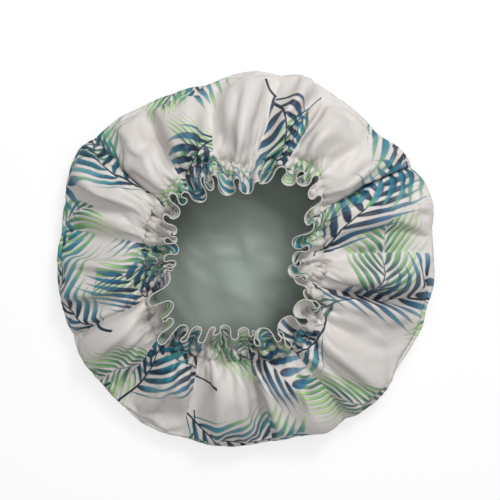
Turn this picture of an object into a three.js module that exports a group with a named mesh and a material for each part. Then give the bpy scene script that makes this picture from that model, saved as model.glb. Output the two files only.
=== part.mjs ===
// A double-layer satin hair bonnet, lying on its crown with the gathered mouth facing up.
// Lengths are in millimetres and angles in degrees. +X and +Y span the resting surface, +Z is up.
import * as THREE from 'three';
import { LoftGeometry } from 'three/addons/geometries/LoftGeometry.js';

const up = new THREE.Vector3(0, 0, 1);
const down = new THREE.Vector3(0, 0, -1);

// Fold line, where the flat crown turns up and back over itself, seen from above
const foldLineRadius = 169;
const foldLineLobes = [
  { at: 22, swell: 7.2, spread: 9 },
  { at: 48, swell: -4.5, spread: 9 },
  { at: 72, swell: 6, spread: 5 },
  { at: 106, swell: -7.5, spread: 10 },
  { at: 145, swell: 7, spread: 9 },
  { at: 235, swell: 5, spread: 14 },
  { at: 275, swell: -1.5, spread: 15 },
  { at: 309, swell: 5, spread: 6 },
  { at: 340, swell: 3, spread: 8 },
];
const edgeRoll = 26;
const edgeHeight = 13;
const rollMiddle = 0.6; // share of the roll where its middle row lies

// Gathered side from the fold line to the mouth, one puff between each two valleys
const foldValleys = [2, 29, 45, 62, 78, 102, 124, 141, 170, 204, 226, 250, 279, 303, 328, 343];
const crestHeight = 46;
const seamHeight = 36;
const puffHeight = 13.5;
const sideRows = [
  { along: 0.2, puff: 0.35 },
  { along: 0.4, puff: 0.75 },
  { along: 0.6, puff: 1 },
  { along: 0.8, puff: 0.95 },
  { along: 0.92, puff: 0.55 },
  { along: 1, puff: 0, facing: up },
];
const riseSharpness = 1.85;
const dipStart = 0.7; // share of the side where it starts to dip to the stitch line
const valleyShare = 0.55; // share of a puff's height that its valleys sink

// Mouth, at the stitch line on the body side of the elastic's casing
const mouthShift = -9.5;
const mouthHalfWidth = 79;
const mouthHalfLength = 89;
const mouthSquareness = 2.6;
const mouthLobes = [
  { at: 50, swell: 16, spread: 13 },
  { at: 85, swell: -5, spread: 8 },
  { at: 130, swell: -7, spread: 13 },
  { at: 225, swell: 6, spread: 9 },
  { at: 310, swell: 5, spread: 14 },
];

// Casing that holds the elastic, and the frill beyond it
const casingEase = 2.5;
const casingTilt = 40;
const crinkleDepth = 0.8;
const frillLength = 20;
const frillTilt = 52;
const rufflesPerFold = 2;
const ruffleDepth = 4.5;

// Cloth, elastic and thread
const clothThickness = 0.8;
const layerGap = 0.4;
const elasticWidth = 10;
const elasticThickness = 1;
const elasticOverlap = 15;
const easingChords = 3; // chords of the ring in which the overlapped ends come together
const overlapGap = 0.3;
const threadDiameter = 0.6;
const joinStitchWidth = 4;
const joinStitchPoints = 5;
const closingStitchLength = 32;
const clearance = 0.3;

// Sizes that follow from the ones above
const threadRadius = threadDiameter / 2;
const seamGap = threadRadius + clearance;
const bodyHalfGap = layerGap / 2;
const casingWidth = elasticWidth + 2 * casingEase;
const overlapOffset = (elasticThickness + overlapGap) / 2;
const bandHalfHeight = elasticThickness + overlapGap / 2;
const joinStitchHeight = bandHalfHeight + clearance + threadRadius;
const crownLift = bodyHalfGap + clothThickness;
const columnsPerFold = 2 * rufflesPerFold;

const materials = {
  printedSatin: new THREE.MeshStandardMaterial({ color: 0xc9c7c2, roughness: 0.38, metalness: 0 }),
  sageSatin: new THREE.MeshStandardMaterial({ color: 0x8c978f, roughness: 0.36, metalness: 0 }),
  elastic: new THREE.MeshStandardMaterial({ color: 0xefede6, roughness: 0.8, metalness: 0 }),
  thread: new THREE.MeshStandardMaterial({ color: 0xd6d2ca, roughness: 0.6, metalness: 0 }),
};

// How far a set of lobes swells an outline at an angle
function swellAt(lobes, angle) {
  return lobes.reduce((swell, lobe) => {
    const turn = THREE.MathUtils.euclideanModulo(angle - lobe.at + 180, 360) - 180;
    return swell + lobe.swell * Math.exp(-((turn / lobe.spread) ** 2) / 2);
  }, 0);
}

// Distance of the casing's stitch line from the mouth's middle: a rounded oval with lobes
function mouthReach(outward, angle) {
  const across = Math.abs(outward.x / mouthHalfWidth) ** mouthSquareness;
  const along = Math.abs(outward.y / mouthHalfLength) ** mouthSquareness;
  return (across + along) ** (-1 / mouthSquareness) + swellAt(mouthLobes, angle);
}

// One radial line of cloth from the crown's middle to the mouth
function makeColumn(angle, phase) {
  const turn = THREE.MathUtils.degToRad(angle);
  const outward = new THREE.Vector3(Math.cos(turn), Math.sin(turn), 0);
  const seam = new THREE.Vector3(mouthShift, 0, crownLift + seamHeight);
  return {
    phase,
    outward,
    foldReach: foldLineRadius + swellAt(foldLineLobes, angle),
    seam: seam.addScaledVector(outward, mouthReach(outward, angle)),
  };
}

const columns = foldValleys.flatMap((valley, fold) => {
  const next = foldValleys[fold + 1] ?? foldValleys[0] + 360;
  const steps = [...Array(columnsPerFold).keys()].map((step) => step / columnsPerFold);
  return steps.map((phase) => makeColumn(THREE.MathUtils.lerp(valley, next, phase), phase));
});

// Direction in a column's upright plane that leans inwards and climbs at an angle
function inward(column, tilt) {
  const turn = THREE.MathUtils.degToRad(tilt);
  return column.outward.clone().multiplyScalar(-Math.cos(turn)).addScaledVector(up, Math.sin(turn));
}

// The same plane's direction at right angles to it, towards the outside of the bonnet
function outside(column, tilt) {
  return inward(column, tilt + 90);
}

// A ring of points with the middle of each chord added, so that it stays parallel to the first
function withMiddles(ring) {
  return ring.flatMap((point, j) => [point, point.clone().lerp(ring[(j + 1) % ring.length], 0.5)]);
}

// Direction of a ring at a point, halfway between its two chords
function ringDirection(ring, j) {
  const before = ring.at(j - 1);
  const after = ring[(j + 1) % ring.length];
  const arriving = ring[j].clone().sub(before).normalize();
  return after.clone().sub(ring[j]).normalize().add(arriving).normalize();
}

// Offset of a point on the middle surface for one millimetre of cloth measured square to the ring
function offsetVector(rows, i, j) {
  if (rows[i].facing) return rows[i].facing.clone();
  const ring = rows[i].ring;
  const further = rows[Math.min(i + 1, rows.length - 1)].ring;
  const nearer = rows[Math.max(i - 1, 0)].ring;
  const climb = further[j % further.length].clone().sub(nearer[j % nearer.length]);
  const facing = ringDirection(ring, j).cross(climb).normalize();
  const chord = ring[(j + 1) % ring.length].clone().sub(ring[j]).normalize();
  return facing.divideScalar(Math.sqrt(1 - facing.dot(chord) ** 2));
}

// One skin of a cloth: the middle surface's rows moved out by a half gap and some thickness
function skin(rows, side, depth) {
  return rows.map((row, i) =>
    row.ring.map((point, j) => {
      const reach = side * (row.halfGaps[j % row.halfGaps.length] + depth);
      return point.clone().addScaledVector(offsetVector(rows, i, j), reach);
    }),
  );
}

// Triangles between two neighbouring rings, or between a pole and a ring
function strip(first, second, reversed = false) {
  const corners = second.flatMap((point, j) => {
    const k = (j + 1) % second.length;
    if (first.length === 1) return [[first[0], second[k], point]];
    return [
      [first[j], first[k], point],
      [first[k], second[k], point],
    ];
  });
  return corners.flatMap(([a, b, c]) => (reversed ? [a, c, b] : [a, b, c]));
}

// A layer of cloth as one closed solid, on the outer (1) or the inner (-1) side of the middle surface
function clothGeometry(rows, side) {
  const near = skin(rows, side, 0);
  const far = skin(rows, side, clothThickness);
  const [outer, inner] = side > 0 ? [far, near] : [near, far];
  const points = rows.slice(1).flatMap((_, i) => [
    ...strip(outer[i], outer[i + 1]),
    ...strip(inner[i], inner[i + 1], true),
  ]);
  points.push(...strip(outer.at(-1), inner.at(-1)));
  if (rows[0].ring.length > 1) points.push(...strip(inner[0], outer[0]));
  const geometry = new THREE.BufferGeometry().setFromPoints(points);
  geometry.computeVertexNormals();
  return geometry;
}

// A thread swept along stations that each have a middle, a direction across the cloth and one out of it
function threadGeometry(stations, closed) {
  const sections = stations.map(({ middle, across, out }) => [
    middle.clone().addScaledVector(across, threadRadius),
    middle.clone().addScaledVector(out, threadRadius),
    middle.clone().addScaledVector(across, -threadRadius),
    middle.clone().addScaledVector(out, -threadRadius),
  ]);
  if (closed) return new LoftGeometry([...sections, sections[0]]);
  return new LoftGeometry(sections, { capStart: true, capEnd: true });
}

// Middle surface of the body: the flat crown, its rolled edge and the puffed side up to the mouth
function bodyRows() {
  const halfGaps = [bodyHalfGap];
  const flatRow = (inset, height, facing) => ({
    facing,
    halfGaps,
    ring: columns.map((column) =>
      column.outward.clone().multiplyScalar(column.foldReach - inset).setZ(crownLift + height),
    ),
  });
  const rollHeight = edgeHeight * (1 - Math.sqrt(1 - rollMiddle ** 2));
  const side = sideRows.map(({ along, puff, facing }) => ({
    facing,
    halfGaps,
    ring: columns.map((column) => sidePoint(column, along, puff)),
  }));
  return [
    { facing: down, halfGaps, ring: [new THREE.Vector3(0, 0, crownLift)] },
    flatRow(edgeRoll, 0, down),
    flatRow(edgeRoll * (1 - rollMiddle), rollHeight),
    flatRow(0, edgeHeight),
    ...side,
  ];
}

// A point of the puffed side, from the fold line (along 0) to the mouth's stitch line (along 1)
function sidePoint(column, along, puff) {
  const turn = (along * Math.PI) / 2;
  const start = column.outward.clone().multiplyScalar(column.foldReach);
  const end = column.seam.clone().addScaledVector(column.outward, seamGap);
  const dip = THREE.MathUtils.clamp((along - dipStart) / (1 - dipStart), 0, 1) ** 2;
  const rise = (crestHeight - edgeHeight) * Math.sin(turn) ** riseSharpness;
  const height = edgeHeight + rise - (crestHeight - seamHeight) * dip;
  const swell = puffHeight * puff * (Math.sin(Math.PI * column.phase) - valleyShare);
  return start.lerp(end, 1 - Math.cos(turn)).setZ(crownLift + height + swell);
}

// A ring on the casing's middle surface, at a distance past the stitch line
function casingRing(distance) {
  return columns.map((column) => column.seam.clone().addScaledVector(inward(column, casingTilt), distance));
}

// Half of the room between the casing's two layers, so that they clear the elastic and its join stitch
function casingHalfGap() {
  const slopeTo = (height, fromEdge) => (height + clearance - seamGap) / (fromEdge - seamGap);
  const bandSlope = slopeTo(bandHalfHeight, casingEase);
  const stitchSlope = slopeTo(joinStitchHeight + threadRadius, (casingWidth - joinStitchWidth) / 2);
  return seamGap + Math.max(bandSlope, stitchSlope) * (casingWidth / 2 - seamGap);
}

// Middle surface of the casing and the frill, from the body-side stitch line to the bonnet's edge
function frillRows() {
  const start = seamGap / Math.cos(THREE.MathUtils.degToRad(casingTilt));
  const room = casingHalfGap();
  const ruffle = [1, 1, -1, -1];
  const frillEnd = casingRing(casingWidth).map((point, j) =>
    point.addScaledVector(inward(columns[j], frillTilt), frillLength),
  );
  const lean = withMiddles(columns.map((column) => outside(column, frillTilt)));
  const edge = withMiddles(frillEnd).map((point, j) =>
    point.addScaledVector(lean[j].clone().normalize(), ruffleDepth * ruffle[j % ruffle.length]),
  );
  return [
    { ring: withMiddles(casingRing(start)), halfGaps: [seamGap], facing: up },
    { ring: withMiddles(casingRing(casingWidth / 2)), halfGaps: [room, room + crinkleDepth] },
    { ring: withMiddles(casingRing(casingWidth)), halfGaps: [seamGap] },
    { ring: edge, halfGaps: [seamGap] },
  ];
}

// Stations along a ring on the casing, one for each column
function casingStations(distance) {
  return casingRing(distance).map((middle, j) => ({
    middle,
    across: inward(columns[j], casingTilt),
    out: outside(columns[j], casingTilt),
  }));
}

// Stations along the bonnet's edge, between its two layers
function edgeStations(rows) {
  const last = rows.length - 1;
  return rows[last].ring.map((middle, j) => ({
    middle,
    across: middle.clone().sub(rows[last - 1].ring[j]).normalize(),
    out: offsetVector(rows, last, j),
  }));
}

// An open run of stations with each end drawn back from its neighbour
function drawnBack(stations, distance) {
  const run = stations.map((station) => ({ ...station, middle: station.middle.clone() }));
  const draw = (end, neighbour) => {
    const along = neighbour.middle.clone().sub(end.middle).normalize();
    end.middle.addScaledVector(along, distance);
  };
  draw(run[0], run[1]);
  draw(run.at(-1), run.at(-2));
  return run;
}

// Number of ring chords that make up a length, counted from the ring's first point
function chordsIn(ring, length) {
  let covered = 0;
  let chords = 0;
  while (covered < length) {
    covered += ring[chords].distanceTo(ring[chords + 1]);
    chords += 1;
  }
  return chords;
}

// The elastic lies flat in the casing, and its ends overlap at the ring's first columns
function elasticGeometry(stations, overlapChords) {
  const count = stations.length;
  const sections = [...Array(count + overlapChords + 1).keys()].map((step) => {
    const { middle, across, out } = stations[step % count];
    const fromStart = THREE.MathUtils.clamp((step - overlapChords) / easingChords, 0, 1) - 1;
    const toEnd = 1 - THREE.MathUtils.clamp((count - step) / easingChords, 0, 1);
    const centre = middle.clone().addScaledVector(out, overlapOffset * (fromStart + toEnd));
    const corner = (side, face) =>
      centre
        .clone()
        .addScaledVector(across, (side * elasticWidth) / 2)
        .addScaledVector(out, (face * elasticThickness) / 2);
    return [corner(1, -1), corner(1, 1), corner(-1, 1), corner(-1, -1)];
  });
  return new LoftGeometry(sections, { capStart: true, capEnd: true });
}

// The zigzag that joins the elastic's ends runs over the overlap, on the elastic's outer face
function joinStitchGeometry(stations, overlapChords) {
  const points = [...Array(joinStitchPoints).keys()].map((step) => {
    const place = (overlapChords * (step + 0.5)) / joinStitchPoints;
    const first = stations[Math.floor(place)];
    const second = stations[Math.floor(place) + 1];
    const side = step % 2 === 0 ? 1 : -1;
    const overFace = ({ middle, across, out }) =>
      middle
        .clone()
        .addScaledVector(across, (side * joinStitchWidth) / 2 - side * threadRadius)
        .addScaledVector(out, joinStitchHeight);
    return overFace(first).lerp(overFace(second), place % 1);
  });
  const section = new THREE.Shape().absarc(0, 0, threadRadius, 0, 2 * Math.PI);
  return new THREE.ExtrudeGeometry(section, {
    steps: 4 * (joinStitchPoints - 1),
    curveSegments: 3,
    extrudePath: new THREE.CatmullRomCurve3(points),
  });
}

function namedMesh(name, geometry, material) {
  const mesh = new THREE.Mesh(geometry, material);
  mesh.name = name;
  return mesh;
}

// The crown: what lies on the surface and rises to the mouth
function makeCrown() {
  const rows = bodyRows();
  return new THREE.Group().add(
    namedMesh('outer_shell', clothGeometry(rows, 1), materials.printedSatin),
    namedMesh('lining', clothGeometry(rows, -1), materials.sageSatin),
  );
}

// The mouth: casing, elastic, frill and the seams that hold them
function makeMouth() {
  const rows = frillRows();
  const band = casingStations(casingWidth / 2);
  const overlapChords = chordsIn(band.map((station) => station.middle), elasticOverlap);
  const edge = edgeStations(rows);
  const closingChords = chordsIn(edge.map((station) => station.middle), closingStitchLength);
  const closing = drawnBack(edge.slice(0, closingChords + 1), clearance / 2);
  const seam = drawnBack([...edge.slice(closingChords), edge[0]], clearance / 2);
  return new THREE.Group().add(
    namedMesh('outer_frill', clothGeometry(rows, 1), materials.printedSatin),
    namedMesh('lining_frill', clothGeometry(rows, -1), materials.sageSatin),
    namedMesh('elastic_band', elasticGeometry(band, overlapChords), materials.elastic),
    namedMesh('elastic_join_stitch', joinStitchGeometry(band, overlapChords), materials.thread),
    namedMesh('casing_stitch_body_side', threadGeometry(casingStations(0), true), materials.thread),
    namedMesh('casing_stitch_frill_side', threadGeometry(casingStations(casingWidth), true), materials.thread),
    namedMesh('edge_seam', threadGeometry(seam, false), materials.thread),
    namedMesh('closing_stitch', threadGeometry(closing, false), materials.thread),
  );
}

// The origin is on the resting surface, under the middle of the bonnet's box
const bonnet = new THREE.Group().add(makeCrown(), makeMouth());
const middle = new THREE.Box3().setFromObject(bonnet).getCenter(new THREE.Vector3());
bonnet.position.set(-middle.x, -middle.y, 0);

export default bonnet;
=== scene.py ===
import math

import bmesh
import bpy
import numpy as np
from mathutils import Matrix, Vector


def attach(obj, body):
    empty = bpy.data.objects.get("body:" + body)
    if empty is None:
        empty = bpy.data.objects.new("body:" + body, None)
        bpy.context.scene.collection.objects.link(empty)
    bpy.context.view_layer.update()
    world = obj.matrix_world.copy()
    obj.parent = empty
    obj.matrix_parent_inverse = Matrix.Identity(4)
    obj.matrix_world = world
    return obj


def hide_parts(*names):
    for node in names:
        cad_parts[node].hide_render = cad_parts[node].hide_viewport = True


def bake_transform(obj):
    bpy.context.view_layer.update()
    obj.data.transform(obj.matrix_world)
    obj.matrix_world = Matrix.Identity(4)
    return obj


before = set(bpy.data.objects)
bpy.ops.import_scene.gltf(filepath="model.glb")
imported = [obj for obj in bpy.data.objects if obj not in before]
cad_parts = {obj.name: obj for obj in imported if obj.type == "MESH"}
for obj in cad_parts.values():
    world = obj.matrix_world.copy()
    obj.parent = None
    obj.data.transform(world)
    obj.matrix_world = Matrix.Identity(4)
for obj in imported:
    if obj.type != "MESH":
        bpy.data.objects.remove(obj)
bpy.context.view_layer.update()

mm = 0.001
fullTurn = 2 * math.pi
up = np.array([0.0, 0.0, 1.0])
dice = np.random.default_rng(41)


def smoothStep(x):
    x = np.clip(x, 0, 1)
    return x * x * (3 - 2 * x)


def ramp(part, start, over):
    return smoothStep((part - start) / over)


# swellings round the ring, each with its angle, size and spread
def lobesAt(degrees, lobes):
    total = np.zeros_like(degrees)
    for at, swell, spread in lobes:
        turn = (degrees - at + 180) % 360 - 180
        total += swell * np.exp(-((turn / spread) ** 2) / 2)
    return total


# one value for each ruffle, passing smoothly from the middle of one to the middle of the next
def ringValues(place, values):
    index = np.floor(place - 0.5).astype(int)
    blend = smoothStep(place - 0.5 - index)
    return values[index % len(values)] * (1 - blend) + values[(index + 1) % len(values)] * blend


def ringNoise(angle, waves, size):
    total = np.zeros_like(angle)
    for wave in waves:
        total += np.cos(wave * angle + dice.uniform(0, fullTurn)) * dice.uniform(0.5, 1)
    return total * size / len(waves)


# edges of neighbours with their own widths, as angles round the ring
def ringEdges(widths):
    return np.concatenate([[0], np.cumsum(widths)]) / widths.sum() * fullTurn


# gathered cloth meanders: how far each place moves along and across the ring, in periods of its ruffle
def meander(place, ruffles, heading):
    samples = len(heading) // ruffles
    ahead = np.cos(heading).reshape(ruffles, samples)
    aside = np.sin(heading).reshape(ruffles, samples)
    gain = ahead.mean(1, keepdims=True)
    drift = aside.mean(1, keepdims=True)
    part = (np.arange(samples) + 1) / samples
    along = np.cumsum(ahead, 1) / samples / gain - part
    across = (np.cumsum(aside, 1) / samples - drift * part) / gain
    spots = np.arange(ruffles * samples + 1) / samples
    return [np.interp(place, spots, np.concatenate([[0], moved.ravel()])) for moved in (along, across)]


# the bonnet's lie on the table, in millimetres and degrees
bonnet = {
    "centre": (-0.32, -0.19),
    "columns": 640,
    "rows": {"crown": 37, "roll": 9, "side": 37, "casing": 10, "frill": 13},
    "rowCrowding": 1.25,
    "foldRadius": 169.0,
    "foldLobes": [(22, 7.2, 9), (48, -4.5, 9), (72, 6, 5), (106, -7.5, 10), (145, 7, 9),
                  (235, 5, 14), (275, -1.5, 15), (309, 5, 6), (340, 3, 8)],
    "edgeRoll": 26.0,
    "edgeHeight": 13.0,
    "crestHeight": 46.0,
    "crestRoundness": 1.25,
    "seamHeight": 36.0,
    "dipFrom": 0.7,
    "dipOver": 0.3,
    "clothLift": 0.6,
}

mouth = {
    "shift": -9.5,
    "halfWidth": 79.0,
    "halfLength": 89.0,
    "squareness": 2.6,
    "lobes": [(50, 16, 13), (85, -5, 8), (130, -7, 13), (225, 6, 9), (310, 5, 14)],
    "casingWidth": 15.0,
    "casingTilt": 34.0,
    "casingSway": ((2, 3, 5), 8),
    "frillLength": 20.0,
    "frillTilt": 54.0,
    "frillSway": ((4, 7, 11, 15, 18), 32),
    "uprights": [(33, 26, 9), (57, 28, 9), (108, 14, 8), (134, 18, 10), (219, 30, 11), (324, 28, 9)],
}


# rows of the smooth surface midway between the two cloths, from the crown's middle to the frill's edge
def smoothRows(angle, out):
    degrees = np.degrees(angle)
    foldReach = bonnet["foldRadius"] + lobesAt(degrees, bonnet["foldLobes"])
    across = np.abs(out[:, 0] / mouth["halfWidth"]) ** mouth["squareness"]
    along = np.abs(out[:, 1] / mouth["halfLength"]) ** mouth["squareness"]
    mouthReach = (across + along) ** (-1 / mouth["squareness"]) + lobesAt(degrees, mouth["lobes"])
    foldLine = out * foldReach[:, None] + up * bonnet["edgeHeight"]
    seam = out * mouthReach[:, None] + up * bonnet["seamHeight"] + np.array([mouth["shift"], 0, 0])
    crest = bonnet["crestHeight"] - bonnet["edgeHeight"]
    sink = bonnet["crestHeight"] - bonnet["seamHeight"]
    rows, zone, share = [], [], []

    def add(points, name, part):
        rows.append(points)
        zone.append(name)
        share.append(part)

    def parts(name):
        return np.linspace(0, 1, bonnet["rows"][name])

    def leaning(tilt):
        tilt = np.radians(tilt)
        return -out * np.cos(tilt)[:, None] + up * np.sin(tilt)[:, None]

    for part in parts("crown"):
        add(out * ((foldReach - bonnet["edgeRoll"]) * part)[:, None], "crown", part)
    for part in parts("roll")[1:]:
        reach = foldReach - bonnet["edgeRoll"] * (1 - part)
        rise = bonnet["edgeHeight"] * (1 - math.sqrt(1 - part**2))
        add(out * reach[:, None] + up * rise, "roll", part)
    for part in 1 - (1 - parts("side")[1:]) ** bonnet["rowCrowding"]:
        turn = part * math.pi / 2
        rise = crest * math.sin(turn) ** bonnet["crestRoundness"]
        dip = sink * max(0, (part - bonnet["dipFrom"]) / bonnet["dipOver"]) ** 2
        points = foldLine + (seam - foldLine) * (1 - math.cos(turn))
        points[:, 2] = bonnet["edgeHeight"] + rise - dip
        add(points, "side", part)
    casingWay = leaning(mouth["casingTilt"] + ringNoise(angle, *mouth["casingSway"]))
    for part in parts("casing")[1:]:
        add(seam + casingWay * mouth["casingWidth"] * part, "casing", part)
    frillTilt = mouth["frillTilt"] + lobesAt(degrees, mouth["uprights"])
    frillWay = leaning(frillTilt + ringNoise(angle, *mouth["frillSway"]))
    frillRoot = rows[-1]
    for part in parts("frill")[1:]:
        add(frillRoot + frillWay * mouth["frillLength"] * part, "frill", part)
    return np.array(rows), np.array(zone), np.array(share)


# each crease between two puffs: its angle, how far out it runs (1 is the fold line) and its depth
creases = [
    (2, 0.9, 1.0), (29, 1.25, 1.1), (45, 0.7, 0.8), (62, 0.9, 1.0), (78, 1.1, 1.1), (102, 0.8, 0.9),
    (124, 0.9, 1.1), (141, 1.2, 1.0), (170, 1.0, 1.1), (204, 1.2, 1.0), (226, 0.9, 1.0), (250, 0.7, 0.8),
    (279, 1.0, 1.0), (303, 1.2, 1.1), (328, 0.8, 0.9), (343, 0.9, 1.0),
]

# a ripple is given by its waves round the side, how it turns outwards and its height
puffs = {
    "depth": 17.0,
    "base": 0.55,
    "roundness": 0.6,
    "usualWidth": 22,
    "lean": 7,
    "creaseFade": 0.5,
    "pinchReach": 0.16,
    "pinchRoundness": 0.8,
    "rollReach": 0.3,
    "ripples": ((7, 2, 1.6), (12, 1, 1.5), (19, 1, 1.2), (31, 1, 0.9)),
    "rippleFadeIn": 0.2,
    "rippleFadeOut": 0.5,
}


# puffs between the creases, with ripples over them
def addPuffs(lift, slide, angle, zone, fromMouth):
    degrees = np.degrees(angle)
    at, run, depth = [np.array(values, float) for values in zip(*creases)]
    following = np.append(at[1:], at[0] + 360)
    fold = np.searchsorted(at, degrees, side="right") - 1
    turned = np.where(fold < 0, degrees + 360, degrees)
    width = (following - at)[fold]
    phase = (turned - at[fold]) / width
    puff = np.sin(math.pi * phase) ** puffs["roundness"]
    lean = dice.uniform(-1, 1, len(at))[fold]
    after = (fold + 1) % len(at)
    onSide = np.flatnonzero((zone == "side") | (zone == "roll"))
    for i in onSide:
        near = smoothStep((run - fromMouth[i]) / puffs["creaseFade"]) * depth
        weight = near[fold] * (1 - phase) + near[after] * phase
        pinch = min(1, fromMouth[i] / puffs["pinchReach"]) ** puffs["pinchRoundness"]
        swell = puffs["depth"] * weight * pinch * (puff - puffs["base"])
        lift[i] += swell * np.sqrt(width / puffs["usualWidth"])
        slide[i] += puffs["lean"] * lean * weight * pinch * puff
    for wave, twist, size in puffs["ripples"]:
        shift = dice.uniform(0, fullTurn)
        for i in onSide:
            fade = min(1, fromMouth[i] / puffs["rippleFadeIn"])
            fade *= min(1, (1 + puffs["rollReach"] - fromMouth[i]) / puffs["rippleFadeOut"])
            lift[i] += size * fade * np.cos(wave * angle + twist * fromMouth[i] + shift)


ruffling = {
    "count": 34,
    "samples": 48,
    "widths": (0.55, 1.6),
    "blur": 3,
    "swing": (1.6, 1.98),
    "calm": 0.4,
    "calmFrom": -0.2,
    "second": (-0.04, 0.38),
    "third": (-0.2, 0.12),
    "sideReach": (8, 30),
    "sway": (-7, 7),
    "crinkles": 97,
    "crinkleSway": ((9, 14, 19), 3),
    "crinkleShare": (0.2, 1.3),
    "crinkleDepth": 1.0,
    "crinkleSideReach": 7,
    "crinkleFrillFade": 4,
    "seamStrength": 0.5,
    "casingGain": 0.1,
    "frillStrength": 0.6,
    "frillGain": 0.4,
    "frillRoundness": 0.8,
}


# ruffles of the frill, which run on through the casing and fade out on the side as pleats
def addRuffles(lift, slide, angle, base, zone, share, flatRadius, fromMouth):
    ruffles = ruffling["count"]
    blur = ruffling["blur"]
    widths = dice.uniform(*ruffling["widths"], ruffles)
    place = np.interp(angle, ringEdges(widths), np.arange(ruffles + 1))
    around = np.concatenate([place[-blur:] - ruffles, place, place[:blur] + ruffles])
    place = np.convolve(around, np.ones(2 * blur + 1) / (2 * blur + 1), "valid") % ruffles
    wide = ringValues(place, widths / widths.mean())
    turns = (np.arange(ruffles * ruffling["samples"]) + 0.5) / ruffling["samples"]
    swings = dice.uniform(*ruffling["swing"], ruffles)
    swings -= ruffling["calm"] * np.maximum(widths - widths.mean(), ruffling["calmFrom"])
    swing = ringValues(turns, swings)
    second = ringValues(turns, dice.uniform(*ruffling["second"], ruffles))
    third = ringValues(turns, dice.uniform(*ruffling["third"], ruffles))
    swerve = np.cos(fullTurn * turns) + second * np.sin(2 * fullTurn * turns)
    swerve = swing * (swerve + third * np.cos(3 * fullTurn * turns))
    sideReach = ringValues(turns, dice.uniform(*ruffling["sideReach"], ruffles))
    sway = ringValues(place, dice.uniform(*ruffling["sway"], ruffles))
    crinkle = np.sin(ruffling["crinkles"] * angle + ringNoise(angle, *ruffling["crinkleSway"]))
    crinkleShare = ringValues(place, dice.uniform(*ruffling["crinkleShare"], ruffles))
    crinkle *= crinkleShare * ruffling["crinkleDepth"]
    sideLength = flatRadius[zone == "side"][-1] - flatRadius[zone == "roll"][-1]
    for i in range(len(zone)):
        if zone[i] == "frill":
            gain = ruffling["frillGain"] * share[i] ** ruffling["frillRoundness"]
            strength = ruffling["frillStrength"] + gain
            fine = math.exp(-share[i] * ruffling["crinkleFrillFade"])
        elif zone[i] == "casing":
            strength = ruffling["seamStrength"] + ruffling["casingGain"] * share[i]
            fine = 1
        elif zone[i] == "side":
            strength = ruffling["seamStrength"] * np.exp(-fromMouth[i] * sideLength / sideReach)
            fine = math.exp(-fromMouth[i] * sideLength / ruffling["crinkleSideReach"])
        else:
            continue
        radius = np.linalg.norm(base[i, :, :2] - np.array([mouth["shift"], 0]), axis=1)
        period = fullTurn * radius / ruffles * wide
        stepAlong, stepAcross = meander(place, ruffles, swerve * strength)
        lift[i] += period * stepAcross + fine * crinkle
        slide[i] += period * stepAlong
        if zone[i] == "frill":
            slide[i] += sway * share[i]


crumples = {
    "counts": (53, 61, 74, 88, 103),
    "slope": 0.22,
    "depth": 0.95,
    "trough": 1.6,
    "sideFade": 7,
    "frillFade": 9,
}


# small diagonal crumples of the tight cloth along the elastic
def addCrumples(lift, angle, zone, flatRadius):
    seamRadius = flatRadius[zone == "side"][-1]
    for count in crumples["counts"]:
        slope = dice.uniform(-crumples["slope"], crumples["slope"])
        shift = dice.uniform(0, fullTurn)
        for i in np.flatnonzero((zone == "side") | (zone == "casing") | (zone == "frill")):
            past = flatRadius[i] - seamRadius
            beyond = (past - mouth["casingWidth"]) / crumples["frillFade"]
            fade = math.exp(-max(0, -past / crumples["sideFade"], beyond))
            wave = np.abs(np.sin(count * angle / 2 + slope * past + shift))
            lift[i] += crumples["depth"] * fade * (1 - crumples["trough"] * wave)


def middleSurface():
    count = bonnet["columns"]
    angle = fullTurn * np.arange(count) / count
    out = np.stack([np.cos(angle), np.sin(angle), np.zeros(count)], 1)
    ring = np.stack([-np.sin(angle), np.cos(angle), np.zeros(count)], 1)
    base, zone, share = smoothRows(angle, out)
    steps = np.linalg.norm(np.diff(base, axis=0), axis=2).mean(axis=1)
    flatRadius = np.concatenate([[0], np.cumsum(steps)])
    facing = np.cross(ring[None, :, :], np.gradient(base, axis=0))
    facing /= np.linalg.norm(facing, axis=2)[:, :, None]
    facing[zone == "crown"] = -up

    # 0 at the casing's seam, 1 at the fold line, and a little more under the rolled edge
    onRoll = 1 + puffs["rollReach"] * (1 - share)
    fromMouth = np.where(zone == "side", 1 - share, np.where(zone == "roll", onRoll, 0))
    lift = np.zeros(base.shape[:2])
    slide = np.zeros(base.shape[:2])
    addPuffs(lift, slide, angle, zone, fromMouth)
    addRuffles(lift, slide, angle, base, zone, share, flatRadius, fromMouth)
    addCrumples(lift, angle, zone, flatRadius)

    centre = np.array([*bonnet["centre"], bonnet["clothLift"]])
    points = base + facing * lift[:, :, None] + ring[None, :, :] * slide[:, :, None] + centre
    return points, zone, share, flatRadius, angle


# a layer of cloth leaves the middle surface by the room that each row gives it
def clothLayer(points, room):
    ahead = np.roll(points, -1, axis=1) - np.roll(points, 1, axis=1)
    facing = np.cross(ahead, np.gradient(points, axis=0))
    length = np.linalg.norm(facing, axis=2)
    facing /= np.maximum(length, 1e-9)[:, :, None]
    facing[length < 1e-9] = -up
    return points + facing * room[:, None, None]


pleats = {
    "count": 88,
    "widths": (0.5, 1.6),
    "depth": 1.5,
    "depthShare": (0.2, 1.3),
    "lengths": (5, 22),
    "roundness": 0.8,
    "base": 0.62,
}


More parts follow.
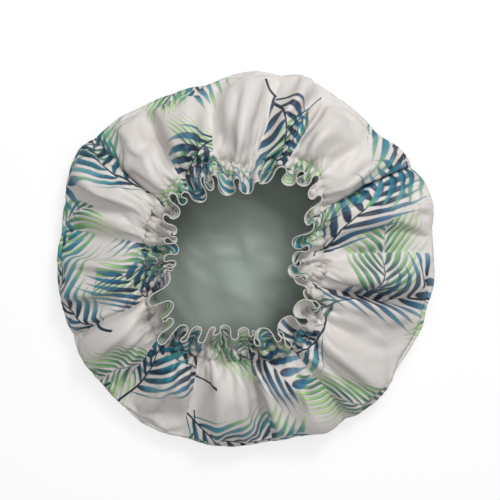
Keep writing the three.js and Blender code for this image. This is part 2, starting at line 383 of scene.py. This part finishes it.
# the elastic draws fine pleats into the settled side, each with its own width, depth and length
def finePleats(points, zone, angle):
    count = pleats["count"]
    widths = dice.uniform(*pleats["widths"], count)
    place = np.interp(angle, ringEdges(widths), np.arange(count + 1)) % count
    depth = ringValues(place, dice.uniform(*pleats["depthShare"], count)) * pleats["depth"]
    length = ringValues(place, dice.uniform(*pleats["lengths"], count))
    bump = depth * (np.abs(np.sin(math.pi * place)) ** pleats["roundness"] - pleats["base"])
    side = np.flatnonzero(zone == "side")
    pleated = points.copy()
    away = np.zeros(len(angle))
    facing = clothLayer(points, np.ones(len(points))) - points
    for i in range(side[-1], side[0], -1):
        pleated[i] += facing[i] * (bump * np.exp(-away / length))[:, None]
        away = away + np.linalg.norm(points[i] - points[i - 1], axis=1)
    return pleated


# place, direction, half length, half width and height of each broad ridge in the lining's floor
floorRidges = [
    ((-32, 22), -62, 60, 14, 4.0), ((6, 14), -50, 46, 12, 3.2), ((22, 40), -20, 42, 13, 3.5),
    ((-4, -34), -70, 40, 14, 3.0), ((-48, -16), -74, 44, 13, 2.8), ((36, -12), 15, 36, 12, 2.4),
    ((-14, 62), -12, 50, 12, 3.2), ((30, -52), 40, 40, 13, 2.8), ((-30, -60), 20, 42, 14, 2.8),
]

# finer wrinkles run two ways, each given by its mean, its spread and how many there are
floorWrinkles = {
    "ways": ((-58, 16, 9), (-12, 12, 7)),
    "places": ((-62, -60), (48, 62)),
    "bow": (-0.006, 0.006),
    "height": (0.8, 1.7),
    "halfLength": (16, 34),
    "halfWidth": (4.5, 7),
    "ridgeBow": 0.004,
    "ridgeWander": 3,
    "ridgeWave": 17,
    "fadeFrom": 105,
    "fadeOver": 35,
}


def alongAcross(plan, place, way):
    turn = math.radians(way)
    offset = plan - np.array(place)
    along = offset[:, :, 0] * math.cos(turn) + offset[:, :, 1] * math.sin(turn)
    across = offset[:, :, 1] * math.cos(turn) - offset[:, :, 0] * math.sin(turn)
    return along, across


# soft ridges of the loose lining over the crown's floor
def liningRidges(points, zone):
    look = floorWrinkles
    plan = points[:, :, :2]
    ridges = np.zeros(points.shape[:2])
    for place, way, length, width, height in floorRidges:
        along, across = alongAcross(plan, place, way)
        wander = look["ridgeWander"] * np.sin(along / look["ridgeWave"] + width)
        across = across + look["ridgeBow"] * along**2 + wander
        ridges += height * np.exp(-((along / length) ** 2) - (across / width) ** 2)
    for way in np.concatenate([dice.normal(*spread) for spread in look["ways"]]):
        along, across = alongAcross(plan, dice.uniform(*look["places"]), way)
        across = across + dice.uniform(*look["bow"]) * along**2
        height = dice.uniform(*look["height"])
        length = dice.uniform(*look["halfLength"])
        width = dice.uniform(*look["halfWidth"])
        ridges += height * np.exp(-((along / length) ** 2) - (across / width) ** 2)
    ridges *= 1 - ramp(np.linalg.norm(plan, axis=2), look["fadeFrom"], look["fadeOver"])
    lifted = points.copy()
    onCrown = zone == "crown"
    lifted[onCrown, :, 2] += ridges[onCrown]
    return lifted


# a grid along the ring, whose vertices carry their place in the rows; weld closes it
def ringGrid(points):
    rowCount, columnCount = points.shape[:2]
    bm = bmesh.new()
    bmesh.ops.create_grid(bm, x_segments=columnCount, y_segments=rowCount - 1, size=0.5)
    place = bm.verts.layers.int.new("place")
    for vert in bm.verts:
        j = round((vert.co.x + 0.5) * columnCount)
        i = round((vert.co.y + 0.5) * (rowCount - 1))
        vert[place] = i * (columnCount + 1) + j
        vert.co = points[i, j % columnCount] * mm
    return bm


def weld(bm):
    bmesh.ops.remove_doubles(bm, verts=bm.verts, dist=1e-6)


def linkPiece(name, bm):
    for face in bm.faces:
        face.smooth = True
    mesh = bpy.data.meshes.new(name)
    bm.to_mesh(mesh)
    bm.free()
    piece = bpy.data.objects.new(name, mesh)
    bpy.context.collection.objects.link(piece)
    return piece


# the ramps are given by where they start and how far they run, in shares of the settled rows
settle = {
    "extra": 0.42,
    "extraRamp": (0.15, 0.35),
    "extraEase": 0.6,
    "easeRamp": (0.8, 0.2),
    "holdRamp": (0.14, 0.12),
    "slack": 0.012,
    "leastRise": 0.01,
    "frames": 36,
    "gravity": 0.15,
    "softPasses": 3,
    "softSpan": 4,
    "lumpPasses": 5,
    "lumpShare": 0.7,
    "crispness": 0.6,
    "crispRamps": (0.25, 0.12),
    "cloth": {"quality": 6, "mass": 0.15, "tension_stiffness": 20, "compression_stiffness": 20,
              "shear_stiffness": 8, "bending_stiffness": 1.6, "air_damping": 6, "time_scale": 0.7},
    "contact": {"use_collision": False, "use_self_collision": True, "self_distance_min": 0.0011,
                "collision_quality": 2},
}


# the shape that the cloth would like to have: a smooth ring, wider than the one it hangs on
def restShape(start, extra):
    columnCount = start.shape[1]
    perimeter = np.linalg.norm(np.roll(start, -1, 1) - start, axis=2).sum(1)
    radius = perimeter * (1 + extra) / fullTurn
    run = np.linalg.norm(np.diff(start, axis=0), axis=2).mean(1) * (1 + settle["slack"])
    rise = np.sqrt(np.maximum(run**2 - np.diff(radius) ** 2, settle["leastRise"]))
    height = np.concatenate([[0], np.cumsum(rise)])
    angle = fullTurn * np.arange(columnCount) / columnCount
    rest = np.zeros_like(start)
    rest[:, :, 0] = radius[:, None] * np.cos(angle)
    rest[:, :, 1] = radius[:, None] * np.sin(angle)
    rest[:, :, 2] = height[:, None]
    return rest


# it settles into soft folds between the rows that are held; every second column takes part
def settleRows(points, rows, extra, hold):
    start = points[rows, ::2]
    rowCount, columnCount = start.shape[:2]
    bm = ringGrid(start)
    weld(bm)
    piece = linkPiece("settling", bm)
    place = np.zeros(len(piece.data.vertices), int)
    piece.data.attributes["place"].data.foreach_get("value", place)
    row = place // (columnCount + 1)
    column = place % (columnCount + 1) % columnCount
    piece.shape_key_add(name="start")
    wider = piece.shape_key_add(name="rest")
    wider.data.foreach_set("co", (restShape(start, extra)[row, column] * mm).ravel())
    held = piece.vertex_groups.new(name="held")
    for i in range(rowCount):
        if hold[i] > 0:
            held.add(np.flatnonzero(row == i).tolist(), float(hold[i]), "REPLACE")
    cloth = piece.modifiers.new("settle", "CLOTH")
    cloth.settings.rest_shape_key = wider
    cloth.settings.vertex_group_mass = "held"
    for key, value in settle["cloth"].items():
        setattr(cloth.settings, key, value)
    for key, value in settle["contact"].items():
        setattr(cloth.collision_settings, key, value)
    cloth.settings.effector_weights.gravity = settle["gravity"]
    cloth.point_cache.frame_start = 1
    cloth.point_cache.frame_end = settle["frames"]
    scene = bpy.context.scene
    for count in range(1, settle["frames"] + 1):
        scene.frame_set(count)
    settled = piece.evaluated_get(bpy.context.evaluated_depsgraph_get()).to_mesh()
    spots = np.zeros(len(settled.vertices) * 3)
    settled.vertices.foreach_get("co", spots)
    result = start.copy()
    result[row, column] = spots.reshape(-1, 3) / mm
    scene.frame_set(1)
    bpy.data.objects.remove(piece)

    # the columns between follow a smooth curve through their four neighbours
    near = result + np.roll(result, -1, 1)
    far = np.roll(result, 1, 1) + np.roll(result, -2, 1)
    finished = points.copy()
    finished[rows, ::2] = result
    finished[rows, 1::2] = (9 * near - far) / 16
    return finished


# satin folds run far and are crisper than the coarse settled cloth, which keeps small lumps
def sharpenFolds(points, zone):
    side = np.flatnonzero(zone == "side")
    span = settle["softSpan"]
    cloth = points[side]
    smooth = cloth.copy()
    soft = cloth.copy()
    for _ in range(settle["softPasses"]):
        soft = (np.roll(soft, -span, 1) + np.roll(soft, span, 1) + 2 * soft) / 4
    folds = cloth - soft
    for _ in range(settle["lumpPasses"]):
        folds[1:-1] = (folds[:-2] + 2 * folds[1:-1] + folds[2:]) / 4
        smooth[1:-1] = (smooth[:-2] + 2 * smooth[1:-1] + smooth[2:]) / 4
    part = np.linspace(0, 1, len(side))
    foldRamp, seamRamp = settle["crispRamps"]
    inside = smoothStep(part / foldRamp) * smoothStep((1 - part) / seamRamp)
    smoothed = points.copy()
    smoothed[side] += (smooth - cloth) * (settle["lumpShare"] * inside)[:, None, None]
    smoothed[side] += folds * (settle["crispness"] * inside)[:, None, None]
    return smoothed


def settleCloth(points, zone):
    first = np.flatnonzero(zone == "roll")[0] - 1
    last = np.flatnonzero(zone == "side")[-1]
    part = np.linspace(0, 1, last + 1 - first)
    ease = 1 - settle["extraEase"] * ramp(part, *settle["easeRamp"])
    extra = settle["extra"] * ramp(part, *settle["extraRamp"]) * ease
    hold = 1 - ramp(part, *settle["holdRamp"])
    hold[-1] = 1
    points = settleRows(points, slice(first, last + 1), extra, hold)
    points = sharpenFolds(points, zone)
    points[:, :, 2] = np.maximum(points[:, :, 2], bonnet["clothLift"])
    print("side settled")
    return points


# a cloth as one sheet; in its UV map each puff shows its own gore of the flat cloth, in metres
def sheetObject(name, points, flatRadius, flip):
    columnCount = points.shape[1]
    perimeter = np.linalg.norm(np.roll(points, -1, 1) - points, axis=2).sum(1)
    shown = np.minimum(1, perimeter / np.maximum(fullTurn * flatRadius, 1e-6))
    shown[flatRadius < bonnet["foldRadius"]] = 1
    at = np.radians([crease[0] for crease in creases])
    middle = (at + np.append(at[1:], at[0] + fullTurn)) / 2
    bm = ringGrid(points)
    place = bm.verts.layers.int["place"]
    uv = bm.loops.layers.uv.new("flatCloth")
    for face in bm.faces:
        spots = [divmod(loop.vert[place], columnCount + 1) for loop in face.loops]
        centre = fullTurn * (sum(spot[1] for spot in spots) / 4) / columnCount
        if centre < at[0]:
            centre += fullTurn
        fold = int(np.searchsorted(at, centre)) - 1
        for loop, (i, j) in zip(face.loops, spots):
            turn = fullTurn * j / columnCount
            if turn < centre - math.pi:
                turn += fullTurn
            turn = middle[fold] + (turn - middle[fold]) * shown[i]
            reach = flatRadius[i] * mm
            loop[uv].uv = (reach * math.cos(turn), reach * math.sin(turn))
    weld(bm)
    if flip:
        bmesh.ops.reverse_faces(bm, faces=bm.faces)
    return linkPiece(name, bm)


# shader maths as plain expressions on sockets
class Wire:
    def __init__(self, tree, socket):
        self.tree = tree
        self.socket = socket

    def make(self, kind, settings=None, inputs=None, out=0):
        node = self.tree.nodes.new(kind)
        for key, value in (settings or {}).items():
            if key == "stops":
                elements = node.color_ramp.elements
                while len(elements) < len(value):
                    elements.new(0.5)
                for element, (where, colour) in zip(elements, value):
                    element.position = where
                    element.color = (*colour, 1)
            else:
                setattr(node, key, value)
        for key, value in (inputs or {}).items():
            if isinstance(value, Wire):
                self.tree.links.new(value.socket, node.inputs[key])
            elif node.inputs[key].type == "RGBA" and len(value) == 3:
                node.inputs[key].default_value = (*value, 1)
            else:
                node.inputs[key].default_value = value
        return Wire(self.tree, node.outputs[out])

    def pick(self, out):
        return Wire(self.tree, self.socket.node.outputs[out])

    def drive(self, shader, key):
        self.tree.links.new(self.socket, shader.inputs[key])

    def maths(self, operation, *others):
        return self.make("ShaderNodeMath", {"operation": operation}, dict(enumerate((self, *others))))

    def clamp(self):
        return self.make("ShaderNodeMath", {"operation": "ADD", "use_clamp": True}, {0: self, 1: 0.0})

    def __add__(self, other):
        return self.maths("ADD", other)

    def __sub__(self, other):
        return self.maths("SUBTRACT", other)

    def __rsub__(self, other):
        return self.make("ShaderNodeMath", {"operation": "SUBTRACT"}, {0: other, 1: self})

    def __mul__(self, other):
        return self.maths("MULTIPLY", other)

    def __truediv__(self, other):
        return self.maths("DIVIDE", other)

    def __pow__(self, other):
        return self.maths("POWER", other)

    def __abs__(self):
        return self.maths("ABSOLUTE")


# display values from 0 to 255 as linear light
def linear(*values):
    shares = [value / 255 for value in values]
    return tuple(((v + 0.055) / 1.055) ** 2.4 if v > 0.04045 else v / 12.92 for v in shares)


def newMaterial(name):
    material = bpy.data.materials.new(name)
    material.use_nodes = True
    shader = material.node_tree.nodes["Principled BSDF"]
    return material, Wire(material.node_tree, shader.outputs[0]), shader


def mixColours(wire, factor, first, second):
    inputs = {0: factor, 6: first, 7: second}
    return wire.make("ShaderNodeMix", {"data_type": "RGBA"}, inputs, out=2)


navy, blue = linear(0, 30, 52), linear(0, 80, 116)
teal, deepTeal = linear(18, 120, 144), linear(0, 58, 74)
green, leafGreen = linear(14, 94, 72), linear(88, 152, 84)
lime = linear(186, 216, 134)

# lengths in metres, angles in radians
fronds = [
    {"offset": (0.19, 0.43, 0), "spacing": 0.13, "scatter": 0.4, "turn": 6.0, "lean": 1.9,
     "length": 0.13, "bend": -0.2, "slant": 1.5, "curl": -20.0, "leaflets": 13, "width": 0.048,
     "fatness": 0.86, "crisp": 5.0, "stem": 0.001, "strength": 0.92,
     "inks": [(0.0, deepTeal), (0.16, green), (0.34, leafGreen), (0.56, lime), (1.0, lime)]},
    {"offset": (0.31, 0.12, 0), "spacing": 0.165, "scatter": 0.35, "turn": 5.2, "lean": 0.4,
     "length": 0.14, "bend": 0.16, "slant": 0.8, "curl": -50.0, "leaflets": 10, "width": 0.058,
     "fatness": 0.74, "crisp": 9.0, "stem": 0.0013, "strength": 0.98,
     "inks": [(0.0, navy), (0.14, navy), (0.34, blue), (0.56, teal), (0.95, leafGreen)]},
    {"offset": (0.52, 0.7, 0), "spacing": 0.16, "scatter": 0.4, "turn": 6.2, "lean": 3.3,
     "length": 0.15, "bend": 0.22, "slant": 1.1, "curl": -35.0, "leaflets": 11, "width": 0.057,
     "fatness": 0.74, "crisp": 9.0, "stem": 0.0013, "strength": 0.98,
     "inks": [(0.0, navy), (0.12, deepTeal), (0.3, teal), (0.5, leafGreen), (0.76, lime)]},
]

# what all fronds share, in shares of a frond's length or of a leaflet's reach
frondForm = {
    "bendMiddle": 0.45,
    "bendRise": 0.06,
    "chanceStep": 37,
    "sideStep": 11,
    "rootTaper": 0.4,
    "tipTaper": 0.6,
    "tipEnd": 1.04,
    "reachGain": 1.45,
    "reachLuck": 0.4,
    "reachLeast": 0.8,
    "noReach": 0.0001,
    "fatGain": 1.35,
    "fatBase": 0.015,
    "fatTaper": 1.1,
    "leafFrom": 0.15,
    "stemTaper": 1.15,
    "stemCrisp": 2200,
    "stemFrom": -0.02,
    "stemTo": 0.98,
    "washScale": 34.0,
    "paleTip": 0.45,
    "tones": {"reach": 0.56, "along": 0.12, "across": 0.36, "luck": 0.16, "wash": 0.5},
}


# fronds scattered over the flat cloth, one in each cell of a loose lattice
def frondLayer(flat, look):
    form = frondForm
    tones = form["tones"]
    moved = flat.make("ShaderNodeVectorMath", {"operation": "ADD"}, {0: flat, 1: look["offset"]})
    cell = flat.make(
        "ShaderNodeTexVoronoi",
        {"voronoi_dimensions": "2D", "feature": "F1"},
        {"Vector": moved, "Scale": 1 / look["spacing"], "Randomness": look["scatter"]},
        out="Position",
    )
    local = flat.make("ShaderNodeVectorMath", {"operation": "SUBTRACT"}, {0: moved, 1: cell})
    chance = flat.make("ShaderNodeSeparateColor", inputs={0: cell.pick("Color")})
    turned = flat.make(
        "ShaderNodeVectorRotate",
        {"rotation_type": "Z_AXIS"},
        {"Vector": local, "Angle": chance * look["turn"] + look["lean"]},
    )

    # along the stem from 0 to 1, and away from it to both sides
    place = flat.make("ShaderNodeSeparateXYZ", inputs={0: turned})
    along = place / look["length"] + 0.5
    bend = (chance.pick(1) - 0.5) * look["bend"]
    middle = along - form["bendMiddle"]
    offStem = place.pick(1) + bend * middle * middle - bend * form["bendRise"]
    away = abs(offStem)
    side = offStem.maths("GREATER_THAN", 0.0)

    # the leaflet that a place lies on, where it leaves the stem, and its own luck
    root = along - away * (look["slant"] / look["length"]) + away * away * look["curl"]
    root = root + side * (0.5 / look["leaflets"])
    count = root * look["leaflets"]
    index = count.maths("FLOOR")
    across = count - index - 0.5
    seed = flat.make(
        "ShaderNodeCombineXYZ",
        inputs={0: index + chance * form["chanceStep"], 1: side + chance.pick(2) * form["sideStep"]},
    )
    luck = flat.make("ShaderNodeTexWhiteNoise", {"noise_dimensions": "2D"}, {"Vector": seed})

    # its outline, with the stem's
    shape = root.maths("MAXIMUM", 0.0) ** form["rootTaper"]
    shape = shape * (form["tipEnd"] - root).maths("MAXIMUM", 0.0) ** form["tipTaper"]
    longest = shape * (luck * form["reachLuck"] + form["reachLeast"]) * (form["reachGain"] * look["width"])
    reach = away / (longest + form["noReach"])
    tip = (1 - reach).maths("MAXIMUM", 0.0)
    fat = (reach + form["fatBase"]).maths("SQRT") * tip ** form["fatTaper"]
    fat = fat * (form["fatGain"] * look["fatness"])
    leaf = ((fat - abs(across)) * look["crisp"]).clamp()
    leaf = leaf * root.maths("GREATER_THAN", form["leafFrom"]) * root.maths("LESS_THAN", 1.0)
    leaf = leaf * reach.maths("LESS_THAN", 1.0)
    stem = ((form["stemTaper"] - along) * look["stem"] - away) * form["stemCrisp"]
    stem = stem.clamp() * along.maths("GREATER_THAN", form["stemFrom"])
    stem = stem * along.maths("LESS_THAN", form["stemTo"])
    mask = (leaf * (1 - reach * reach * form["paleTip"])).maths("MAXIMUM", stem)

    wash = flat.make(
        "ShaderNodeTexNoise",
        {"noise_dimensions": "2D"},
        {"Vector": flat, "Scale": form["washScale"], "Detail": 2.0},
    )
    tone = reach * tones["reach"] + along * tones["along"] + across * tones["across"]
    tone = tone + (luck - 0.5) * tones["luck"] + (wash - 0.5) * tones["wash"]
    ink = flat.make("ShaderNodeValToRGB", {"stops": look["inks"]}, {0: tone * leaf})
    return mask * look["strength"], ink


grain = {
    "stretch": (1.0, 0.2, 1.0),
    "fibreScale": 1400.0,
    "streakScale": 260.0,
    "shade": 0.2,
    "shadeColour": linear(96, 96, 94),
    "fibreRelief": 0.6,
    "streakRelief": 0.4,
    "bump": {"Strength": 0.12, "Distance": 0.0003},
    "roughness": 0.41,
    "roughnessVaries": 0.1,
}


# long fine floats of satin threads: a little colour, gloss and relief
def satinGrain(wire, flat, colour, shader):
    stretched = wire.make("ShaderNodeVectorMath", {"operation": "MULTIPLY"}, {0: flat, 1: grain["stretch"]})
    inputs = {"Vector": stretched, "Scale": grain["fibreScale"], "Detail": 2.0}
    fibre = wire.make("ShaderNodeTexNoise", inputs=inputs)
    inputs = {"Vector": stretched, "Scale": grain["streakScale"], "Detail": 3.0}
    streak = wire.make("ShaderNodeTexNoise", inputs=inputs)
    shade = ((streak - 0.5) * grain["shade"] + (fibre - 0.5) * grain["shade"]).clamp()
    relief = fibre * grain["fibreRelief"] + streak * grain["streakRelief"]
    roughness = fibre * grain["roughnessVaries"] + streak * grain["roughnessVaries"] + grain["roughness"]
    mixColours(wire, shade, colour, grain["shadeColour"]).drive(shader, "Base Color")
    roughness.drive(shader, "Roughness")
    wire.make("ShaderNodeBump", inputs={**grain["bump"], "Height": relief}).drive(shader, "Normal")


pearl = {
    "colours": (linear(195, 189, 185), linear(204, 200, 196)),
    "cloud": {"Scale": 9.0, "Detail": 2.0},
    "gloss": {"Specular IOR Level": 0.42, "Sheen Weight": 0.05, "Sheen Roughness": 0.4},
    "print": fronds,
}

sage = {
    "colours": (linear(128, 140, 131), linear(139, 151, 142)),
    "cloud": {"Scale": 11.0, "Detail": 3.0},
    "gloss": {"Specular IOR Level": 0.5, "Sheen Weight": 0.1},
    "print": [],
}


def satinFinish(name, look):
    material, wire, shader = newMaterial(name)
    flat = wire.make("ShaderNodeUVMap", {"uv_map": "flatCloth"})
    cloud = wire.make("ShaderNodeTexNoise", inputs={"Vector": flat, **look["cloud"]})
    colour = mixColours(wire, cloud, *look["colours"])
    for layer in look["print"]:
        mask, ink = frondLayer(flat, layer)
        colour = mixColours(wire, mask, colour, ink)
    satinGrain(wire, flat, colour, shader)
    for key, value in look["gloss"].items():
        shader.inputs[key].default_value = value
    return material


sewingThread = {
    "colours": (linear(178, 175, 169), linear(204, 201, 195)),
    "scale": 1500.0,
    "bump": {"Strength": 0.4, "Distance": 0.0002},
    "roughness": 0.6,
}

wovenElastic = {
    "colours": (linear(214, 211, 203), linear(240, 238, 232)),
    "scale": 900.0,
    "bump": {"Strength": 0.5, "Distance": 0.0004},
    "roughness": 0.8,
}


# fine uneven yarn, twisted in a thread or woven in elastic
def yarnFinish(name, look):
    material, wire, shader = newMaterial(name)
    place = wire.make("ShaderNodeTexCoord", out="Object")
    yarn = wire.make("ShaderNodeTexNoise", inputs={"Vector": place, "Scale": look["scale"]})
    mixColours(wire, yarn, *look["colours"]).drive(shader, "Base Color")
    wire.make("ShaderNodeBump", inputs={**look["bump"], "Height": yarn}).drive(shader, "Normal")
    shader.inputs["Roughness"].default_value = look["roughness"]
    return material


# half of the room between the two cloths, which opens in the casing for the elastic
room = {
    "cloth": 0.6,
    "casing": 0.35,
    "elastic": 1.5,
    "roundness": 0.7,
    "seams": 0.4,
}

print("middle surface")
points, zone, share, flatRadius, angle = middleSurface()
points = settleCloth(points, zone)
points = finePleats(points, zone, angle)
roomOut = np.full(len(zone), room["cloth"])
casing = zone == "casing"
roomOut[casing] = room["casing"] + room["elastic"] * np.sin(math.pi * share[casing]) ** room["roundness"]
roomOut[zone == "frill"] = room["seams"]
roomOut[np.flatnonzero(zone == "side")[-2:]] = room["seams"]
outerLayer = clothLayer(points, roomOut)
innerLayer = clothLayer(points, -roomOut)

outerCloth = sheetObject("outer_cloth", outerLayer, flatRadius, False)
outerCloth.data.materials.append(satinFinish("printedSatin", pearl))
liningCloth = sheetObject("lining_cloth", liningRidges(innerLayer, zone), flatRadius, True)
liningCloth.data.materials.append(satinFinish("sageSatin", sage))
for piece, nodes, slot in (
    (outerCloth, ("outer_shell", "outer_frill"), "printed_satin"),
    (liningCloth, ("lining", "lining_frill"), "sage_satin"),
):
    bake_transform(piece)
    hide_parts(*nodes)
    size = 2 * flatRadius[-1] * mm
    math.pi * size**2 / 4
print("cloths, cut from a circle of", round(2 * flatRadius[-1]), "mm")


def finishTrim(piece, material, node):
    piece.data.materials.append(material)
    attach(piece, "mouth")
    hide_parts(node)


# places along a closed line, one for each pitch, with the line's direction there
def alongLine(line, pitch, length=None):
    closed = np.vstack([line, line[:1]])
    run = np.concatenate([[0], np.cumsum(np.linalg.norm(np.diff(closed, axis=0), axis=1))])
    reach = length or run[-1]
    count = int(reach / pitch)
    spots = (np.arange(count) + 0.5) * reach / count

    def at(places):
        return np.stack([np.interp(places, run, closed[:, axis]) for axis in range(3)], 1)

    way = at(spots + 0.4) - at(spots - 0.4)
    return at(spots), way / np.linalg.norm(way, axis=1)[:, None]


stitching = {"pitch": 2.8, "length": 2.2, "width": 0.62, "batch": 30}


# stitches as small grains; they are made in batches, since a small mesh takes new ones faster
def stitchPiece(name, runs):
    whole = bmesh.new()
    width = stitching["width"] / 2 * mm
    batch = stitching["batch"]
    for spots, ways, length in runs:
        size = Matrix.Diagonal((width, width, length / 2 * mm, 1))
        for first in range(0, len(spots), batch):
            few = bmesh.new()
            for spot, way in zip(spots[first : first + batch], ways[first : first + batch]):
                turn = Vector(way).to_track_quat("Z", "Y").to_matrix().to_4x4()
                place = Matrix.Translation(Vector(spot * mm)) @ turn @ size
                bmesh.ops.create_uvsphere(few, u_segments=8, v_segments=5, radius=1, matrix=place)
            part = bpy.data.meshes.new("few")
            few.to_mesh(part)
            few.free()
            whole.from_mesh(part)
            bpy.data.meshes.remove(part)
    return linkPiece(name, whole)


# a loop of rings, closed in both directions
def closedPiece(name, rings):
    bm = ringGrid(rings)
    weld(bm)
    bmesh.ops.recalc_face_normals(bm, faces=bm.faces)
    return linkPiece(name, bm)


def tubeRings(line, radius, sides):
    way = np.roll(line, -1, 0) - np.roll(line, 1, 0)
    way /= np.linalg.norm(way, axis=1)[:, None]
    side = np.cross(way, up)
    side /= np.maximum(np.linalg.norm(side, axis=1), 1e-6)[:, None]
    top = np.cross(side, way)
    turns = fullTurn * np.arange(sides + 1) / sides
    return np.array([line + radius * (side * math.cos(t) + top * math.sin(t)) for t in turns])


thread = yarnFinish("thread", sewingThread)
bodySeam = np.flatnonzero(zone == "side")[-1]
frillSeam = np.flatnonzero(zone == "casing")[-1]
for row, node in ((bodySeam, "casing_stitch_body_side"), (frillSeam, "casing_stitch_frill_side")):
    runs = []
    for layer in (outerLayer, innerLayer):
        spots, ways = alongLine(layer[row], stitching["pitch"])
        runs.append((spots, ways, stitching["length"]))
    finishTrim(stitchPiece(node.replace("casing_stitch", "stitches"), runs), thread, node)

edging = {"radius": 0.5, "sides": 8, "overhang": 0.2}
beyond = points[-1] - points[-2]
edge = points[-1] + edging["overhang"] * beyond / np.linalg.norm(beyond, axis=1)[:, None]
edgeRings = tubeRings(edge, edging["radius"], edging["sides"])
finishTrim(closedPiece("edge_roll", edgeRings), thread, "edge_seam")

closing = {"reach": 32.0, "pitch": 1.6, "length": 1.8, "slant": 0.6}
spots, ways = alongLine(edge, closing["pitch"], closing["reach"])
slanted = ways + closing["slant"] * np.cross(ways, up)
runs = [(spots + up * edging["radius"], slanted, closing["length"])]
finishTrim(stitchPiece("closing_stitches", runs), thread, "closing_stitch")

band = {"firstRow": 2, "lastRow": 7, "halfThickness": 0.5}
casingRows = np.flatnonzero(zone == "casing")
bandRows = points[casingRows[band["firstRow"]] : casingRows[band["lastRow"]] + 1]
thickness = np.full(len(bandRows), band["halfThickness"])
loop = np.concatenate([clothLayer(bandRows, thickness), clothLayer(bandRows, -thickness)[::-1]])
elastic = closedPiece("elastic", np.concatenate([loop, loop[:1]]))
finishTrim(elastic, yarnFinish("elastic", wovenElastic), "elastic_band")

join = {"reach": 15.0, "pitch": 1.5, "length": 3.6, "slant": 2, "lift": 0.3}
joinLine = clothLayer(bandRows, thickness + join["lift"])[len(bandRows) // 2]
spots, ways = alongLine(joinLine, join["pitch"], join["reach"])
zigzag = np.cross(ways, up) * np.where(np.arange(len(ways)) % 2, 1, -1)[:, None]
runs = [(spots, ways + join["slant"] * zigzag, join["length"])]
finishTrim(stitchPiece("join_stitches", runs), thread, "elastic_join_stitch")
print("stitches, edge roll and elastic")

# floor, light and camera, in metres; a lamp is given by its name, place, aim, size and power
studio = {
    "frameWidth": 0.4535,
    "aim": (0.0041, 0.0082),
    "height": 0.95,
    "focusHeight": 0.013,
    "floorHalfSize": 6,
    "floorDrop": 0.0004,
    "floorColour": (0.9, 0.9, 0.9, 1),
    "floorRoughness": 0.9,
    "floorGlow": 0.7,
    "skyColour": (0.97, 0.985, 1, 1),
    "skySeen": 0.92,
    "skyLight": 0.08,
    "lamps": [
        ("softbox", (-0.05, 0.05, 1.15), (-0.05, 0.05, 0), 2.4, 19.5),
        ("window", (0.42, 0.82, 1.0), (0, 0, 0.02), 0.45, 11),
    ],
}


def makeFloor():
    bm = bmesh.new()
    bmesh.ops.create_grid(bm, x_segments=1, y_segments=1, size=studio["floorHalfSize"])
    floor = linkPiece("floor", bm)
    floor.location.z = -studio["floorDrop"]
    material, wire, shader = newMaterial("paleFloor")
    shader.inputs["Base Color"].default_value = studio["floorColour"]
    shader.inputs["Roughness"].default_value = studio["floorRoughness"]
    seen = wire.make("ShaderNodeLightPath")
    white = wire.make("ShaderNodeEmission", inputs={"Color": (1, 1, 1, 1), "Strength": 1.0})
    seen = seen + seen.pick("Is Glossy Ray") + seen.pick("Is Transmission Ray")
    glow = seen.maths("MINIMUM", 1.0) * studio["floorGlow"]
    blend = wire.make("ShaderNodeMixShader", inputs={0: glow, 1: wire, 2: white})
    blend.drive(wire.tree.nodes["Material Output"], 0)
    floor.data.materials.append(material)


def makeSky():
    world = bpy.data.worlds.new("studio")
    bpy.context.scene.world = world
    world.use_nodes = True
    background = world.node_tree.nodes["Background"]
    background.inputs["Color"].default_value = studio["skyColour"]
    seen = Wire(world.node_tree, background.outputs[0]).make("ShaderNodeLightPath")
    (seen * studio["skySeen"] + studio["skyLight"]).drive(background, "Strength")


def makeLamp(name, place, aim, size, power):
    data = bpy.data.lights.new(name, "AREA")
    data.size = size
    data.energy = power
    lamp = bpy.data.objects.new(name, data)
    lamp.location = place
    bpy.context.collection.objects.link(lamp)
    way = Vector(aim) - Vector(place)
    lamp.rotation_euler = way.to_track_quat("-Z", "Y").to_euler()


def makeCamera():
    data = bpy.data.cameras.new("camera")
    camera = bpy.data.objects.new("camera", data)
    camera.location = (*studio["aim"], studio["height"])
    data.angle = 2 * math.atan(studio["frameWidth"] / 2 / (studio["height"] - studio["focusHeight"]))
    bpy.context.collection.objects.link(camera)
    bpy.context.scene.camera = camera
    bpy.context.scene.view_settings.view_transform = "Standard"


makeFloor()
makeSky()
for lamp in studio["lamps"]:
    makeLamp(*lamp)
makeCamera()
print("studio")
